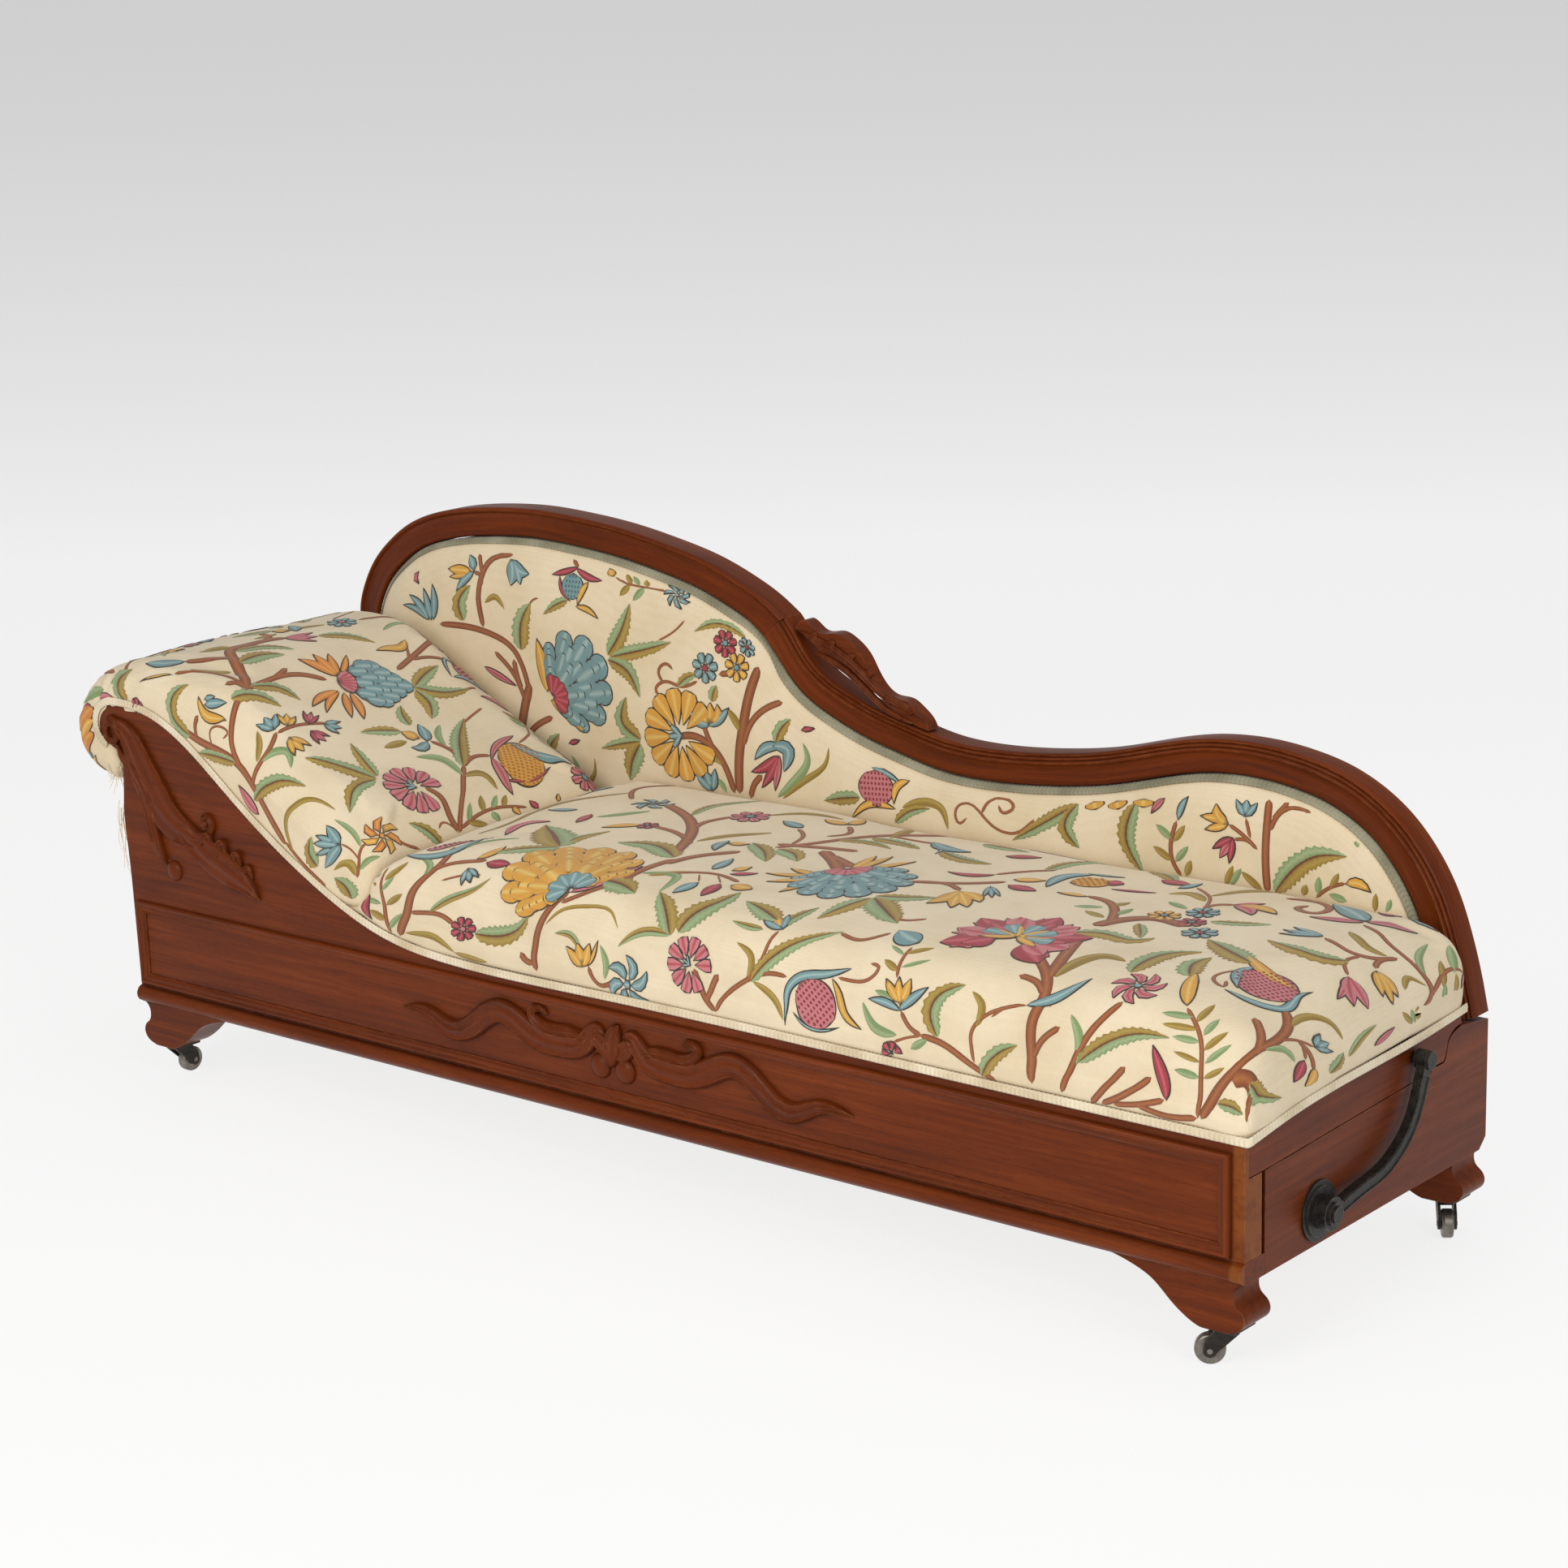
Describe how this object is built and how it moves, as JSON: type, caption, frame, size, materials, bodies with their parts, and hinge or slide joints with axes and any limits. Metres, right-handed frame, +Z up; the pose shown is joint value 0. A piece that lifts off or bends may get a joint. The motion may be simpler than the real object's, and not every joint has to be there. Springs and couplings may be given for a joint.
{
  "type": "fainting couch",
  "caption": "Fainting couch with a head roll, a serpentine upholstered back and a sprung seat that swings forward on iron arms to open as a bed.",
  "frame": {"origin": "on the floor below the middle of the couch's bounding box", "axes": "+X towards the foot end, +Y towards the back, +Z up; the sitter faces -Y"},
  "size_m": [2.0029, 0.562, 0.777],
  "materials": {
    "polished_wood": "polished",
    "pine": "sawn",
    "cast_iron": "aged",
    "caster_steel": "worn",
    "spring_wire": "drawn wire",
    "crewel_cloth": "embroidered",
    "cream_gimp": "braided",
    "grey_gimp": "braided",
    "lining_cloth": "plain weave",
    "hessian": "open weave",
    "webbing": "twill tape",
    "ticking": "striped ticking"
  },
  "bodies": {
    "base": {"back_crest_rail": "polished_wood", "back_foot_rail": "pine", "back_gimp": "grey_gimp", "back_pad": "crewel_cloth", "back_serpentine_rail": "polished_wood", "base_front_moulding": "polished_wood", "base_front_rail": "polished_wood", "bed_mattress": "ticking", "bed_slats": "pine", "caster_plate_front_left": "cast_iron", "caster_plate_front_right": "cast_iron", "caster_plate_rear_left": "cast_iron", "caster_plate_rear_right": "cast_iron", "crest_carving": "polished_wood", "end_board_foot": "polished_wood", "end_board_head": "polished_wood", "escutcheon_foot": "cast_iron", "escutcheon_head": "cast_iron", "foot_front_left": "polished_wood", "foot_front_right": "polished_wood", "foot_rear_left": "polished_wood", "foot_rear_right": "polished_wood", "inner_front_board": "pine", "lower_pin_foot": "cast_iron", "lower_pin_head": "cast_iron", "outside_back_cloth": "lining_cloth", "rear_board": "pine"},
    "arm_foot": {"swing_arm_foot": "cast_iron"},
    "arm_head": {"swing_arm_head": "cast_iron"},
    "seat": {"front_board": "polished_wood", "front_panel_moulding": "polished_wood", "head_carving": "polished_wood", "centre_carving": "polished_wood", "seat_gimp": "cream_gimp", "seat_rail_foot": "polished_wood", "seat_rail_head": "polished_wood", "seat_rear_rail": "pine", "seat_webbing": "webbing", "seat_springs": "spring_wire", "seat_hessian": "hessian", "seat_pad": "crewel_cloth", "head_pad": "crewel_cloth", "head_rear_board": "pine", "head_slats": "pine", "upper_pin_foot": "cast_iron", "upper_pin_head": "cast_iron"},
    "caster_front_left": {"caster_fork_front_left": "cast_iron", "caster_axle_front_left": "caster_steel"},
    "wheel_front_left": {"caster_wheel_front_left": "caster_steel"},
    "caster_front_right": {"caster_fork_front_right": "cast_iron", "caster_axle_front_right": "caster_steel"},
    "wheel_front_right": {"caster_wheel_front_right": "caster_steel"},
    "caster_rear_left": {"caster_fork_rear_left": "cast_iron", "caster_axle_rear_left": "caster_steel"},
    "wheel_rear_left": {"caster_wheel_rear_left": "caster_steel"},
    "caster_rear_right": {"caster_fork_rear_right": "cast_iron", "caster_axle_rear_right": "caster_steel"},
    "wheel_rear_right": {"caster_wheel_rear_right": "caster_steel"}
  },
  "joints": [
    {"name": "arm_swing", "type": "hinge", "parent": "base", "child": "arm_foot", "pos_m": [0.9825, -0.121, 0.151], "axis": [1, 0, 0], "range_deg": [0, 152.5]},
    {"name": "seat_level", "type": "hinge", "parent": "arm_foot", "child": "seat", "pos_m": [0.9825, 0.095, 0.274], "axis": [1, 0, 0], "range_deg": [-152.5, 0]},
    {"name": "head_arm_swing", "type": "hinge", "parent": "base", "child": "arm_head", "pos_m": [-0.8855, -0.121, 0.151], "axis": [1, 0, 0], "range_deg": [0, 152.5]},
    {"name": "swivel_front_left", "type": "hinge", "parent": "base", "child": "caster_front_left", "pos_m": [-0.8385, -0.2485, 0.042], "axis": [0, 0, 1], "continuous": true},
    {"name": "roll_front_left", "type": "hinge", "parent": "caster_front_left", "child": "wheel_front_left", "pos_m": [-0.8385, -0.2285, 0.018], "axis": [1, 0, 0], "continuous": true},
    {"name": "swivel_front_right", "type": "hinge", "parent": "base", "child": "caster_front_right", "pos_m": [0.9355, -0.2485, 0.042], "axis": [0, 0, 1], "continuous": true},
    {"name": "roll_front_right", "type": "hinge", "parent": "caster_front_right", "child": "wheel_front_right", "pos_m": [0.91827, -0.25865, 0.018], "axis": [-0.5075, 0.8616, 0], "continuous": true},
    {"name": "swivel_rear_left", "type": "hinge", "parent": "base", "child": "caster_rear_left", "pos_m": [-0.8385, 0.2485, 0.042], "axis": [0, 0, 1], "continuous": true},
    {"name": "roll_rear_left", "type": "hinge", "parent": "caster_rear_left", "child": "wheel_rear_left", "pos_m": [-0.84534, 0.22971, 0.018], "axis": [-0.9397, 0.342, 0], "continuous": true},
    {"name": "swivel_rear_right", "type": "hinge", "parent": "base", "child": "caster_rear_right", "pos_m": [0.9355, 0.2485, 0.042], "axis": [0, 0, 1], "continuous": true},
    {"name": "roll_rear_right", "type": "hinge", "parent": "caster_rear_right", "child": "wheel_rear_right", "pos_m": [0.94697, 0.23212, 0.018], "axis": [-0.8192, -0.5736, 0], "continuous": true}
  ],
  "couplings": [
    {"joint": "seat_level", "follows": "arm_swing", "ratio": -1},
    {"joint": "head_arm_swing", "follows": "arm_swing", "ratio": 1}
  ]
}
